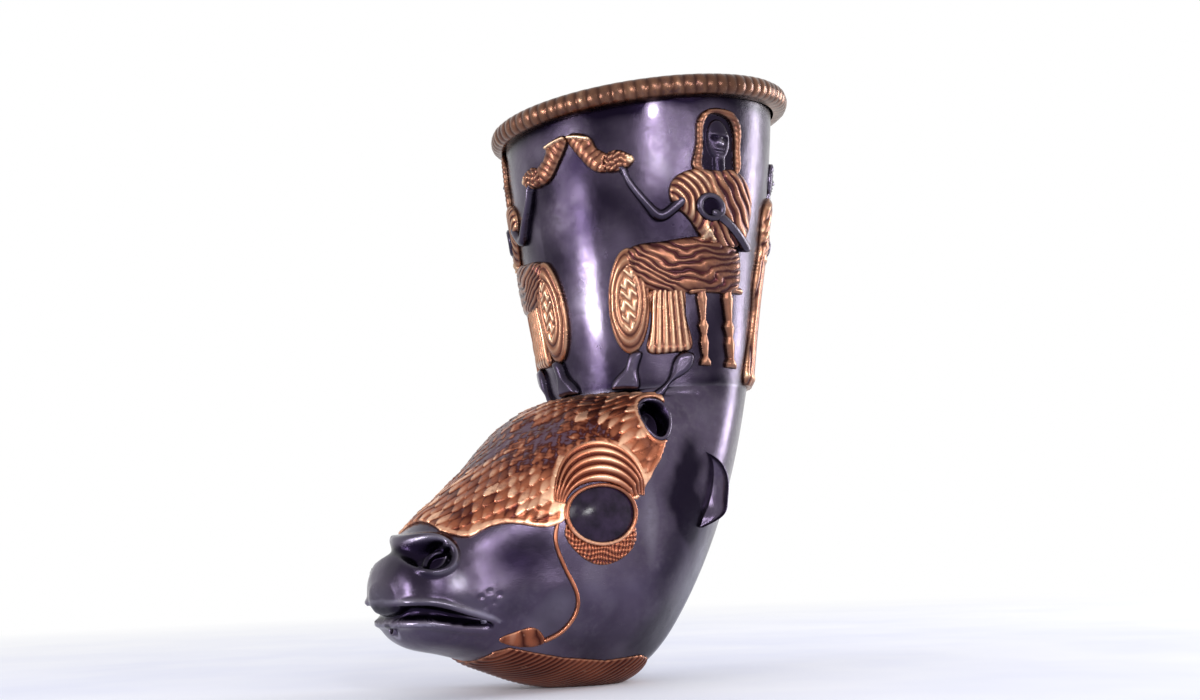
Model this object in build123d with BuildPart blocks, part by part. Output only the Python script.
"""A silver-gilt rhyton: a flaring drinking cup that bends forward into a calf's head.

The muzzle points to -X, the animal's left side to -Y and up is +Z. The origin is the middle of the flat
under the jaw, on which the cup rests. Lengths are in millimetres, angles in degrees.
"""
from build123d import *
import os
from math import cos, pi, radians, sin

os.makedirs("parts", exist_ok=True)

# Driving sizes of the cup
wall = 2.0
joint_height = 129.0
joint_setback = 39.5
joint_radius = 47.3
joint_tilt = 3.0
lip_height = 268.5
lip_setback = 40.5
lip_radius = 66.0
lip_tilt = 7.8
rim_height = 10.0
rim_bulge = 7.5
flute_count = 84
flute_depth = 1.1

# Driving sizes of the calf's head
muzzle_reach = 106.0
cheek_half_width = 47.0
cavity_reach = 60.0
gilt = 0.9
jaw_lift = 2.4

# Eyes, seen from the side: place, half sizes, and how far things stand out
eye_back = 25.0
eye_height = 72.0
eye_half_length = 15.0
eye_half_height = 11.3
eye_bed = 1.0
eye_dome = 0.6
eye_rim_width = 1.6
trim_lift = 1.5
brow_reach = 17.0
brow_ridge_count = 4
brow_root = 1.0
brow_lift = 2.4
brow_ridge_lift = 3.8
wire_width = 1.5

# Mouth, nostrils and spout
mouth_depth = 4.0
nostril_back = 92.0
nostril_height = 57.0
nostril_half_length = 7.0
nostril_half_height = 4.6
nostril_depth = 4.5
nostril_mouth_share = 1.25
nostril_floor_share = 0.55
spout_height = 28.5
spout_bore_radius = 1.5
spout_wall = 1.0
spout_proud = 0.8

# Ears and horn sockets
ear_back = 29.0
ear_base_height = 66.0
ear_height = 36.0
ear_width = 18.0
ear_thickness = 4.2
ear_hollow = 2.2
ear_edge = 2.8
ear_sink = 6.0
ear_turn = 27.0
socket_back = 10.6
socket_height = 114.0
socket_bore_radius = 8.6
socket_wall = 1.6
socket_flare = 2.4
socket_length = 5.5
socket_sink = 6.0
socket_rise = 26.0
socket_sweep = 4.0

# Relief round the cup: bearings are turned from the muzzle towards the animal's left side
sitter_bearing = 52.0
pair_bearing = 21.0
stander_bearing = 140.0
relief_root = 1.0
dress_lift = 2.0
flesh_lift = 2.7
fold_lift = 3.2
fold_width = 1.6
limb_width = 4.2

side = Vector(0, 1, 0)
wall_height = lip_height - joint_height


def tilted_plane(setback, height, tilt):
    """A level plane on the cup's axis, tipped so that its back edge is raised by tilt degrees."""
    lean = radians(tilt)
    return Plane(origin=(setback, 0, height), x_dir=(cos(lean), 0, sin(lean)), z_dir=(-sin(lean), 0, cos(lean)))


joint_plane = tilted_plane(joint_setback, joint_height, joint_tilt)
lip_plane = tilted_plane(lip_setback, lip_height, lip_tilt)

# The cup between joint and lip: shares of the way up, and of the growth of the radius
cup_rise_shares = [0.0, 0.30, 0.60, 0.85, 1.0]
cup_flare_shares = [0.0, 0.31, 0.70, 0.92, 1.0]


def cup_form(grow):
    """The whole cup as a solid, grown outward by grow."""
    with BuildPart() as form:
        for rise, flare in zip(cup_rise_shares, cup_flare_shares):
            plane = tilted_plane(
                joint_setback + rise * (lip_setback - joint_setback),
                joint_height + rise * wall_height,
                joint_tilt + rise * (lip_tilt - joint_tilt),
            )
            with BuildSketch(plane):
                Circle(joint_radius + flare * (lip_radius - joint_radius) + grow)
        loft()
    return form.part


# Sections of the head from the joint to the nose. Each row gives the top point and the bottom point of the
# section in side view, as shares of muzzle_reach and joint_height, its half width as a share of
# cheek_half_width, and how far its shape has gone from round (0) to face (1) to muzzle (2).
head_shares = [
    (-0.110, 0.968, 0.760, 0.830, 1.010, 0.3),
    (-0.200, 0.946, 0.610, 0.500, 1.020, 0.7),
    (-0.305, 0.900, 0.375, 0.185, 1.010, 1.0),
    (-0.400, 0.840, 0.140, 0.020, 0.985, 1.0),
    (-0.490, 0.770, -0.130, 0.010, 0.915, 1.1),
    (-0.580, 0.700, -0.390, 0.046, 0.800, 1.3),
    (-0.680, 0.630, -0.600, 0.105, 0.660, 1.6),
    (-0.785, 0.565, -0.755, 0.140, 0.570, 2.0),
    (-0.875, 0.505, -0.870, 0.175, 0.500, 2.0),
    (-0.945, 0.440, -0.930, 0.225, 0.390, 2.0),
    (-0.988, 0.375, -0.976, 0.270, 0.230, 2.0),
]
section_shares = [0.0, 0.05, 0.14, 0.30, 0.50, 0.70, 0.88, 0.96, 1.0]
round_shares = [0.0, 0.436, 0.694, 0.917, 1.0, 0.917, 0.650, 0.392, 0.0]
face_shares = [0.0, 0.520, 0.840, 1.0, 0.99, 0.93, 0.620, 0.400, 0.0]
muzzle_shares = [0.0, 0.480, 0.740, 0.930, 1.0, 0.970, 0.740, 0.480, 0.0]


def half_outline(shape):
    """Half widths along a section, for a shape between round, face and muzzle."""
    low, high, share = (round_shares, face_shares, shape) if shape < 1 else (face_shares, muzzle_shares, shape - 1)
    return [a + (b - a) * share for a, b in zip(low, high)]


def section_plane(top, bottom):
    """The plane across the head through two points in side view. Its x runs down, its y to the right side."""
    down = (bottom - top).normalized()
    return Plane(origin=top, x_dir=down, z_dir=down.cross(side))


joint_arm = joint_plane.x_dir * joint_radius
joint_section = (joint_plane.origin - joint_arm, joint_plane.origin + joint_arm, joint_radius, 0)
head_sections = [
    (
        Vector(top_x * muzzle_reach, 0, top_z * joint_height),
        Vector(bottom_x * muzzle_reach, 0, bottom_z * joint_height),
        width * cheek_half_width,
        shape,
    )
    for top_x, top_z, bottom_x, bottom_z, width, shape in head_shares
]


def head_form(grow):
    """The head as a solid from the joint to the nose, grown outward by grow."""
    with BuildPart() as form:
        for top, bottom, half_width, shape in [joint_section, *head_sections]:
            length = (bottom - top).length
            across = half_outline(shape)
            points = [
                (along * length + (2 * along - 1) * grow, out * (half_width + grow))
                for along, out in zip(section_shares, across)
            ]
            mirrored = [(x, -y) for x, y in points[-2:0:-1]]
            with BuildSketch(section_plane(top, bottom)):
                with BuildLine():
                    Spline(*points, *mirrored, periodic=True)
                make_face()
        loft()
    return form.part


cup_solid = cup_form(0)
head_solid = head_form(0)


def finish(part, name):
    """Labels a finished piece and writes it."""
    part.label = name
    export_step(part, f"parts/{name}.step")


def finish_pair(part, name):
    """Writes the left and the right one of a pair that was made as one part of two solids."""
    left, *_, right = part.solids().sort_by(Axis.Y)
    finish(left, f"{name}_left")
    finish(right, f"{name}_right")


def side_points(shares):
    """Side view points of the head, given as shares of its reach and of the joint's height."""
    return [(x * muzzle_reach, z * joint_height) for x, z in shares]


def left_surface(back, height):
    """The point of the head's left side that lies back and height from the origin in side view."""
    hits = head_solid.find_intersection_points(Axis((back, -4 * lip_radius, height), (0, 1, 0)))
    return hits[0]


# The cup's wall
with BuildPart() as cup_wall:
    add(cup_solid)
    add(cup_form(-wall), mode=Mode.SUBTRACT)
finish(cup_wall.part, "cup_wall")

# The ribbed band round the lip: zigzag rings at several heights, joined by flat faces
band_drop_shares = [0.0, 0.28, 0.72, 1.0]
band_bulge_shares = [0.50, 1.0, 1.0, 0.50]
with BuildPart() as rim_band:
    for drop, bulge in zip(band_drop_shares, band_bulge_shares):
        ridge = lip_radius + bulge * rim_bulge
        with BuildSketch(lip_plane.offset(-drop * rim_height)):
            with BuildLine():
                Polyline(
                    *[
                        ((ridge - flute_depth * (step % 2)) * cos(pi * step / flute_count),
                         (ridge - flute_depth * (step % 2)) * sin(pi * step / flute_count))
                        for step in range(2 * flute_count)
                    ],
                    close=True,
                )
            make_face()
    loft(ruled=True)
    add(cup_solid, mode=Mode.SUBTRACT)
finish(rim_band.part, "rim_band")


# Side view outlines on the head, as shares of muzzle_reach and joint_height. The first points of the mask
# are its wavy lower border.
mask_border_shares = [
    (-0.735, 0.468), (-0.684, 0.510), (-0.640, 0.530), (-0.571, 0.535), (-0.507, 0.524), (-0.435, 0.526),
    (-0.380, 0.545),
]
mask_rest_shares = [
    (-0.240, 0.570), (-0.075, 0.600), (0.050, 0.740), (0.125, 0.860), (0.118, 0.955), (-0.100, 0.955),
    (-0.092, 1.150), (-1.000, 1.150), (-0.820, 0.560),
]
mouth_shares = [
    (-1.150, 0.288), (-0.950, 0.290), (-0.800, 0.275), (-0.640, 0.228), (-0.640, 0.222), (-0.800, 0.230),
    (-0.950, 0.252), (-1.150, 0.262),
]
wire_shares = [
    (-0.428, 0.530), (-0.432, 0.480), (-0.415, 0.435), (-0.375, 0.368), (-0.336, 0.275), (-0.348, 0.228),
    (-0.376, 0.193), (-0.421, 0.170),
]
lid_shares = [
    (-0.400, 0.500), (-0.350, 0.450), (-0.250, 0.405), (-0.150, 0.420), (-0.080, 0.475), (-0.100, 0.560),
    (-0.380, 0.550),
]
corner_shares = [
    (-0.600, 0.185), (-0.520, 0.162), (-0.430, 0.156), (-0.425, 0.195), (-0.500, 0.225), (-0.590, 0.220),
]
jaw_shares = [
    (-0.690, 0.165), (-0.620, 0.158), (-0.540, 0.146), (-0.430, 0.125), (-0.310, 0.105), (-0.110, 0.088),
    (0.130, 0.108), (0.220, 0.090), (0.220, -0.100), (-0.690, -0.100),
]

gilt_form = head_form(gilt)
trim_form = head_form(trim_lift)
bed_solid = head_form(-eye_bed)

# Where the things on the left side of the head sit
socket_seat, _ = left_surface(socket_back, socket_height)
socket_level = cos(radians(socket_rise))
socket_direction = Vector(
    socket_level * sin(radians(socket_sweep)),
    -socket_level * cos(radians(socket_sweep)),
    sin(radians(socket_rise)),
)
socket_plane = Plane(origin=socket_seat, z_dir=socket_direction)
socket_outer = socket_bore_radius + socket_wall
socket_foot = socket_outer + socket_flare
nostril_seat, nostril_direction = left_surface(-nostril_back, nostril_height)
nostril_plane = Plane(origin=nostril_seat, x_dir=nostril_direction.cross(Vector(0, 0, -1)), z_dir=nostril_direction)
spout_outer = spout_bore_radius + spout_wall
spout_plane = Plane(origin=(-cavity_reach, 0, spout_height), z_dir=(-1, 0, 0))

# The spout hole's length: from the cavity to just outside the lower lip
lip_hits = head_solid.find_intersection_points(Axis((-muzzle_reach * 2, 0, spout_height), (1, 0, 0)))
spout_length = -lip_hits[0][0].X - cavity_reach + spout_proud

# The hollow inside the head, which ends behind the mouth
with BuildPart() as cavity:
    add(head_form(-wall))
    with BuildSketch(Plane.YZ.offset(-cavity_reach)):
        Rectangle(4 * joint_radius, 4 * joint_height)
    extrude(amount=-muzzle_reach, mode=Mode.SUBTRACT)

# Where the mouth's slit runs
with BuildPart() as mouth_slit:
    with BuildSketch(Plane.XZ):
        with BuildLine():
            Polyline(*side_points(mouth_shares), close=True)
        make_face()
    extrude(amount=cheek_half_width, both=True)
    add(head_form(-mouth_depth), mode=Mode.SUBTRACT)

# The seats that the eyes' inlays lie in
with BuildPart() as eye_seats:
    with BuildSketch(Plane.XZ):
        with Locations((-eye_back, eye_height)):
            Ellipse(eye_half_length, eye_half_height)
    extrude(amount=2 * cheek_half_width, both=True)
    add(bed_solid, mode=Mode.SUBTRACT)

# The two nostrils, as the solids that their cuts take away
with BuildPart() as nostrils:
    with BuildSketch(nostril_plane.offset(nostril_depth)):
        Ellipse(nostril_half_length * nostril_mouth_share, nostril_half_height * nostril_mouth_share)
    with BuildSketch(nostril_plane.offset(-nostril_depth)):
        Ellipse(nostril_half_length * nostril_floor_share, nostril_half_height * nostril_floor_share)
    loft()
    mirror(about=Plane.XZ)

# The holes in the crown that the horns' roots go through
with BuildPart() as horn_holes:
    with BuildSketch(socket_plane.offset(socket_length)):
        Circle(socket_bore_radius)
    extrude(amount=-socket_length - 2 * socket_sink)
    mirror(about=Plane.XZ)

# The calf's head: a hollow shell with a solid nose
with BuildPart() as calf_head:
    add(head_solid)
    add(cavity.part, mode=Mode.SUBTRACT)
    add(mouth_slit.part, mode=Mode.SUBTRACT)
    add(eye_seats.part, mode=Mode.SUBTRACT)
    add(nostrils.part, mode=Mode.SUBTRACT)
    add(horn_holes.part, mode=Mode.SUBTRACT)
    with BuildSketch(spout_plane):
        Circle(spout_outer)
    extrude(amount=spout_length, mode=Mode.SUBTRACT)
finish(calf_head.part, "calf_head")

# The little tube that the drink runs out of
with BuildPart() as spout_tube:
    with BuildSketch(spout_plane):
        Circle(spout_outer)
        Circle(spout_bore_radius, mode=Mode.SUBTRACT)
    extrude(amount=spout_length)
finish(spout_tube.part, "spout_tube")

# The ridged gilt skin under the jaw, flat where the cup rests
with BuildPart() as jaw_plate:
    with BuildSketch(Plane.XZ):
        with BuildLine():
            Polyline(*side_points(jaw_shares), close=True)
        make_face()
    extrude(amount=cheek_half_width, both=True)
    add(head_form(jaw_lift), mode=Mode.INTERSECT)
    add(head_solid, mode=Mode.SUBTRACT)
    split(bisect_by=Plane.XY, keep=Keep.TOP)
finish(jaw_plate.part, "jaw_plate")

# The horn sockets: flared collars that stand on the crown, with an open bore
with BuildPart() as horn_socket:
    with BuildSketch(socket_plane.offset(-socket_sink)):
        Circle(socket_foot)
    with BuildSketch(socket_plane.offset(socket_length)):
        Circle(socket_outer)
    loft()
    mirror(about=Plane.XZ)
    add(horn_holes.part, mode=Mode.SUBTRACT)
    add(head_solid, mode=Mode.SUBTRACT)
finish_pair(horn_socket.part, "horn_socket")

# The room that both sockets take up on the crown
with BuildPart() as socket_room:
    with BuildSketch(socket_plane.offset(-socket_sink)):
        Circle(socket_foot)
    extrude(amount=socket_length + socket_sink)
    mirror(about=Plane.XZ)

# The ears: hollowed leaves that stand out behind the eyes
ear_seat, _ = left_surface(ear_back, ear_base_height + ear_height / 2)
ear_plane = Plane(
    origin=(ear_back, ear_seat.Y, ear_base_height),
    x_dir=(cos(radians(ear_turn)), -sin(radians(ear_turn)), 0),
    z_dir=(-sin(radians(ear_turn)), -cos(radians(ear_turn)), 0),
)
ear_edge_shares = [
    (0.0, 0.0), (0.38, 0.01), (0.72, 0.11), (0.94, 0.30), (1.0, 0.52), (0.93, 0.72), (0.72, 0.88), (0.42, 0.97),
    (0.10, 1.0),
]
ear_root_shares = [(0.0, 0.85), (0.0, 0.10)]
ear_edge_points = [(x * ear_width, y * ear_height) for x, y in ear_edge_shares]
ear_root_points = [(x * ear_width - ear_sink, y * ear_height) for x, y in ear_root_shares]
with BuildSketch() as ear_leaf:
    with BuildLine():
        Polyline(*ear_edge_points, *ear_root_points, close=True)
    make_face()
with BuildPart() as ear:
    with BuildSketch(ear_plane):
        add(ear_leaf.sketch)
    extrude(amount=ear_thickness / 2, both=True)
    with BuildSketch(ear_plane.offset(ear_thickness / 2)):
        add(ear_leaf.sketch)
        offset(amount=-ear_edge, mode=Mode.REPLACE)
    extrude(amount=-ear_hollow, mode=Mode.SUBTRACT)
    mirror(about=Plane.XZ)
    add(head_solid, mode=Mode.SUBTRACT)
finish_pair(ear.part, "ear")

# Outlines round the eye, in side view with the middle of the eye as their origin
brow_pitch = brow_reach / brow_ridge_count
rim_half_length = eye_half_length + eye_rim_width
rim_half_height = eye_half_height + eye_rim_width
brow_spread_share = 0.25


def brow_arch(reach):
    """The side view half ellipse over the eye that stands reach above the eye's rim."""
    with BuildSketch() as arch:
        Ellipse(rim_half_length + brow_spread_share * reach, rim_half_height + reach)
        with Locations((0, -2 * rim_half_height)):
            Rectangle(4 * rim_half_length, 4 * rim_half_height, mode=Mode.SUBTRACT)
    return arch.sketch


def brow_band(low, high):
    """The crescent between two arches over the eye."""
    with BuildSketch() as band:
        add(brow_arch(high))
        add(brow_arch(low), mode=Mode.SUBTRACT)
    return band.sketch


eye_plane = Plane(origin=(-eye_back, 0, eye_height), x_dir=(1, 0, 0), z_dir=(0, -1, 0))

# The eyes: dark inlays, their raised rims, and the gilt lids below them
with BuildPart() as eye:
    with BuildSketch(eye_plane):
        Ellipse(eye_half_length, eye_half_height)
    extrude(amount=2 * cheek_half_width, both=True)
    add(head_form(eye_dome), mode=Mode.INTERSECT)
    add(bed_solid, mode=Mode.SUBTRACT)
finish_pair(eye.part, "eye")

with BuildPart() as eye_rim:
    with BuildSketch(eye_plane):
        Ellipse(rim_half_length, rim_half_height)
        Ellipse(eye_half_length, eye_half_height, mode=Mode.SUBTRACT)
    extrude(amount=2 * cheek_half_width, both=True)
    add(trim_form, mode=Mode.INTERSECT)
    add(head_solid, mode=Mode.SUBTRACT)
finish_pair(eye_rim.part, "eye_rim")

with BuildPart() as lower_lid:
    with BuildSketch(Plane.XZ):
        with BuildLine():
            Polyline(*side_points(lid_shares), close=True)
        make_face()
        with Locations((-eye_back, eye_height)):
            Ellipse(rim_half_length, rim_half_height, mode=Mode.SUBTRACT)
        with Locations((-eye_back, eye_height + rim_half_height)):
            Rectangle(4 * rim_half_length, 2 * rim_half_height, mode=Mode.SUBTRACT)
    extrude(amount=2 * cheek_half_width, both=True)
    add(gilt_form, mode=Mode.INTERSECT)
    add(head_solid, mode=Mode.SUBTRACT)
finish_pair(lower_lid.part, "lower_lid")

# The brows: a crescent field over each eye that carries nested ridges
with BuildPart() as brow_ridges:
    with BuildSketch(eye_plane):
        for ridge in range(1, brow_ridge_count + 1):
            add(brow_band((ridge - 1 / 2) * brow_pitch, ridge * brow_pitch))
    extrude(amount=2 * cheek_half_width, both=True)
    add(head_form(brow_ridge_lift), mode=Mode.INTERSECT)
    add(head_form(brow_root), mode=Mode.SUBTRACT)

with BuildPart() as brow:
    with BuildSketch(eye_plane):
        add(brow_band(0, brow_reach))
    extrude(amount=2 * cheek_half_width, both=True)
    add(head_form(brow_lift), mode=Mode.INTERSECT)
    add(head_solid, mode=Mode.SUBTRACT)
    add(brow_ridges.part)
finish_pair(brow.part, "brow")

# The gilt mask over forehead and nose, clear of the brows, the eyes' rims and the sockets
with BuildPart() as forehead_mask:
    with BuildSketch(Plane.XZ):
        with BuildLine():
            Spline(*side_points(mask_border_shares))
            Polyline(*side_points(mask_border_shares[-1:] + mask_rest_shares + mask_border_shares[:1]))
        make_face()
    extrude(amount=2 * cheek_half_width, both=True)
    with BuildSketch(eye_plane):
        add(brow_arch(brow_reach))
        Ellipse(rim_half_length, rim_half_height)
    extrude(amount=2 * cheek_half_width, both=True, mode=Mode.SUBTRACT)
    add(gilt_form, mode=Mode.INTERSECT)
    add(head_solid, mode=Mode.SUBTRACT)
    add(socket_room.part, mode=Mode.SUBTRACT)
finish(forehead_mask.part, "forehead_mask")

# The raised wire that runs from the mask down round each cheek
with BuildPart() as cheek_wire:
    with BuildSketch(Plane.XZ):
        with BuildLine():
            Spline(*side_points(wire_shares))
        trace(line_width=wire_width)
    extrude(amount=2 * cheek_half_width, both=True)
    add(trim_form, mode=Mode.INTERSECT)
    add(head_solid, mode=Mode.SUBTRACT)
    add(forehead_mask.part, mode=Mode.SUBTRACT)
    add(eye_rim.part, mode=Mode.SUBTRACT)
finish_pair(cheek_wire.part, "cheek_wire")

# The folds at the corners of the mouth
with BuildPart() as lip_corner:
    with BuildSketch(Plane.XZ):
        with BuildLine():
            Polyline(*side_points(corner_shares), close=True)
        make_face()
    extrude(amount=2 * cheek_half_width, both=True)
    add(gilt_form, mode=Mode.INTERSECT)
    add(head_solid, mode=Mode.SUBTRACT)
    add(cheek_wire.part, mode=Mode.SUBTRACT)
finish_pair(lip_corner.part, "lip_corner")

# The relief round the cup. Its outlines are drawn upright, facing one bearing, as shares of relief_height:
# x from the middle line, y from the joint up.
relief_share = 0.95
relief_height = relief_share * wall_height
relief_reach = 2 * lip_radius
dress_form = cup_form(dress_lift)
flesh_form = cup_form(flesh_lift)
fold_form = cup_form(fold_lift)
root_form = cup_form(relief_root)

hood_shares = [
    (0.170, 0.690), (0.182, 0.853), (0.210, 0.890), (0.252, 0.904), (0.298, 0.900), (0.321, 0.875),
    (0.315, 0.700),
]
cape_shares = [
    (0.074, 0.621), (0.092, 0.670), (0.185, 0.697), (0.307, 0.714), (0.354, 0.653), (0.351, 0.571),
    (0.325, 0.440), (0.194, 0.440), (0.147, 0.543), (0.072, 0.574),
]
lap_shares = [
    (-0.069, 0.435), (0.0125, 0.447), (0.177, 0.465), (0.299, 0.454), (0.283, 0.309), (0.138, 0.296),
    (0.000, 0.271),
]
skirt_shares = [(0.000, 0.310), (0.150, 0.310), (0.160, 0.108), (-0.010, 0.102)]
raised_arm_shares = [(0.088, 0.574), (0.048, 0.535), (-0.015, 0.598), (-0.070, 0.678)]
held_arm_shares = [(0.215, 0.558), (0.318, 0.467)]
near_foot_shares = [
    (-0.006, -0.042), (0.040, 0.115), (0.130, 0.112), (0.137, 0.071), (0.129, 0.038), (0.026, -0.043),
]
face_place_share = (0.252, 0.815)
face_half_shares = (0.037, 0.068)
neck_place_share = (0.252, 0.730)
neck_size_shares = (0.034, 0.070)
bowl_place_share = (0.206, 0.600)
bowl_ring_shares = (0.042, 0.026)
oval_place_share = (-0.060, 0.275)
oval_half_shares = (0.064, 0.167)
oval_fold_shares = [(0.048, 0.140), (0.036, 0.125)]
pleat_reach_shares = (0.120, 0.290)
stander_face_share = (0.0, 0.760)
stander_face_half_shares = (0.042, 0.062)
stander_neck_share = (0.0, 0.700)
far_foot_shares = [(-0.126, -0.006), (-0.082, 0.076), (-0.010, 0.110), (-0.030, 0.050), (-0.037, -0.011)]
horn_shares = [
    (-0.235, 0.812), (-0.171, 0.796), (-0.115, 0.769), (-0.036, 0.720), (-0.070, 0.670), (-0.108, 0.700),
    (-0.140, 0.714), (-0.200, 0.770),
]
seat_rail_shares = [(0.140, 0.300), (0.300, 0.318)]
leg_tops_shares = [(0.172, 0.310), (0.262, 0.318)]
leg_feet_share = 0.060
leg_turning_shares = [(1.0, 0.010), (0.85, 0.022), (0.70, 0.011), (0.35, 0.024), (0.0, 0.014)]
cape_fold_shares = [
    [(0.110, 0.640), (0.200, 0.625), (0.270, 0.565), (0.290, 0.480)],
    [(0.160, 0.672), (0.260, 0.660), (0.320, 0.600), (0.332, 0.500)],
]
lap_fold_shares = [
    [(-0.030, 0.400), (0.080, 0.385), (0.190, 0.400), (0.270, 0.420)],
    [(0.010, 0.330), (0.100, 0.345), (0.200, 0.350), (0.270, 0.370)],
]
pleat_shares = [0.030, 0.075, 0.120]
gown_shares = [
    (-0.030, 0.690), (0.030, 0.690), (0.120, 0.650), (0.135, 0.400), (0.095, 0.300), (0.120, 0.030),
    (-0.120, 0.030), (-0.095, 0.300), (-0.135, 0.400), (-0.120, 0.650),
]
gown_fold_shares = [
    [(-0.080, 0.060), (-0.064, 0.300), (-0.080, 0.560)],
    [(0.0, 0.060), (0.0, 0.300), (0.0, 0.560)],
    [(0.080, 0.060), (0.064, 0.300), (0.080, 0.560)],
]


def bearing_plane(bearing):
    """The upright plane through the cup's axis that faces a bearing, with its origin at the joint."""
    turn = radians(bearing)
    return Plane(
        origin=(joint_setback, 0, joint_height),
        x_dir=(sin(turn), -cos(turn), 0),
        z_dir=(-cos(turn), -sin(turn), 0),
    )


def relief_points(shares, hand):
    """Points of the relief, for a figure that faces left (hand 1) or right (hand -1) as one looks at it."""
    return [(hand * x * relief_height, y * relief_height) for x, y in shares]


def relief_sizes(shares):
    """Lengths of the relief, given as shares of its height."""
    return [share * relief_height for share in shares]


def relief_face(shares, hand):
    """The flat face inside an outline of the relief."""
    with BuildSketch() as face:
        with BuildLine():
            Polyline(*relief_points(shares, hand), close=True)
        make_face()
    return face.sketch


def relief_stroke(shares, hand, width):
    """A smooth stroke through points of the relief."""
    with BuildSketch() as stroke:
        with BuildLine():
            Spline(*relief_points(shares, hand))
        trace(line_width=width)
    return stroke.sketch


def relief_part(outline, bearing, form, base):
    """The piece of relief with this outline that lies between a base and a form."""
    with BuildPart() as piece:
        with BuildSketch(bearing_plane(bearing)):
            add(outline)
        extrude(amount=relief_reach)
        add(form, mode=Mode.INTERSECT)
        add(base, mode=Mode.SUBTRACT)
    return piece.part


def sitter_flesh(hand):
    """Face, neck, arms and feet of a seated figure."""
    with BuildSketch() as flesh:
        with Locations(*relief_points([face_place_share], hand)):
            Ellipse(*relief_sizes(face_half_shares))
        with Locations(*relief_points([neck_place_share], hand)):
            Rectangle(*relief_sizes(neck_size_shares))
        add(relief_stroke(raised_arm_shares, hand, limb_width))
        add(relief_stroke(held_arm_shares, hand, limb_width))
        add(relief_face(near_foot_shares, hand))
        add(relief_face(far_foot_shares, hand))
    return flesh.sketch


def sitter_bowl(hand):
    """The ring of the bowl that a seated figure holds."""
    with BuildSketch() as bowl:
        outer, inner = relief_sizes(bowl_ring_shares)
        with Locations(*relief_points([bowl_place_share], hand)):
            Circle(outer)
            Circle(inner, mode=Mode.SUBTRACT)
    return bowl.sketch


def sitter_stool(hand):
    """The rail and the two turned legs of a seat."""
    with BuildSketch() as stool:
        add(relief_stroke(seat_rail_shares, hand, limb_width))
        for x, top in leg_tops_shares:
            sides = [(x + out, leg_feet_share + up * (top - leg_feet_share)) for up, out in leg_turning_shares]
            others = [(2 * x - at, up) for at, up in reversed(sides)]
            add(relief_face(sides + others, hand))
    return stool.sketch


def make_sitter(name, bearing, hand):
    """A seated figure in relief, in five pieces."""
    flesh = sitter_flesh(hand)
    with BuildSketch() as bowl:
        add(sitter_bowl(hand))
        add(flesh, mode=Mode.SUBTRACT)
    with BuildSketch() as horn:
        add(relief_face(horn_shares, hand))
        add(flesh, mode=Mode.SUBTRACT)
    with BuildSketch() as dress:
        for shares in (hood_shares, cape_shares, lap_shares, skirt_shares):
            add(relief_face(shares, hand))
        with Locations(*relief_points([oval_place_share], hand)):
            Ellipse(*relief_sizes(oval_half_shares))
        add(flesh, mode=Mode.SUBTRACT)
        add(bowl.sketch, mode=Mode.SUBTRACT)
    with BuildSketch() as folds:
        for shares in cape_fold_shares + lap_fold_shares:
            add(relief_stroke(shares, hand, fold_width))
        for x in pleat_shares:
            add(relief_stroke([(x, end) for end in pleat_reach_shares], hand, fold_width))
        outer, inner = [relief_sizes(shares) for shares in oval_fold_shares]
        with Locations(*relief_points([oval_place_share], hand)):
            Ellipse(*outer)
            Ellipse(*inner, mode=Mode.SUBTRACT)
        add(flesh, mode=Mode.SUBTRACT)
        add(bowl.sketch, mode=Mode.SUBTRACT)
    with BuildSketch() as stool:
        add(sitter_stool(hand))
        add(dress.sketch, mode=Mode.SUBTRACT)
        add(flesh, mode=Mode.SUBTRACT)
    finish(relief_part(flesh, bearing, flesh_form, cup_solid), f"{name}_sitter_figure")
    finish(relief_part(bowl.sketch, bearing, flesh_form, cup_solid), f"{name}_sitter_bowl")
    finish(relief_part(horn.sketch, bearing, flesh_form, cup_solid), f"{name}_sitter_horn")
    finish(relief_part(stool.sketch, bearing, dress_form, cup_solid), f"{name}_sitter_stool")
    with BuildPart() as cloth:
        add(relief_part(dress.sketch, bearing, dress_form, cup_solid))
        add(relief_part(folds.sketch, bearing, fold_form, root_form))
    finish(cloth.part, f"{name}_sitter_dress")


make_sitter("left", sitter_bearing, 1)
make_sitter("front", 2 * pair_bearing - sitter_bearing, -1)


def make_stander(name, bearing):
    """A standing figure in relief, whose gown reaches down to the joint."""
    with BuildSketch() as flesh:
        with Locations(*relief_points([stander_face_share], 1)):
            Ellipse(*relief_sizes(stander_face_half_shares))
        with Locations(*relief_points([stander_neck_share], 1)):
            Rectangle(*relief_sizes(neck_size_shares))
    with BuildSketch() as gown:
        add(relief_face(gown_shares, 1))
        add(flesh.sketch, mode=Mode.SUBTRACT)
    with BuildSketch() as folds:
        for shares in gown_fold_shares:
            add(relief_stroke(shares, 1, fold_width))
    finish(relief_part(flesh.sketch, bearing, flesh_form, cup_solid), f"{name}_stander_figure")
    with BuildPart() as cloth:
        add(relief_part(gown.sketch, bearing, dress_form, cup_solid))
        add(relief_part(folds.sketch, bearing, fold_form, root_form))
    finish(cloth.part, f"{name}_stander_dress")


make_stander("left", stander_bearing)
make_stander("right", 2 * pair_bearing - stander_bearing)
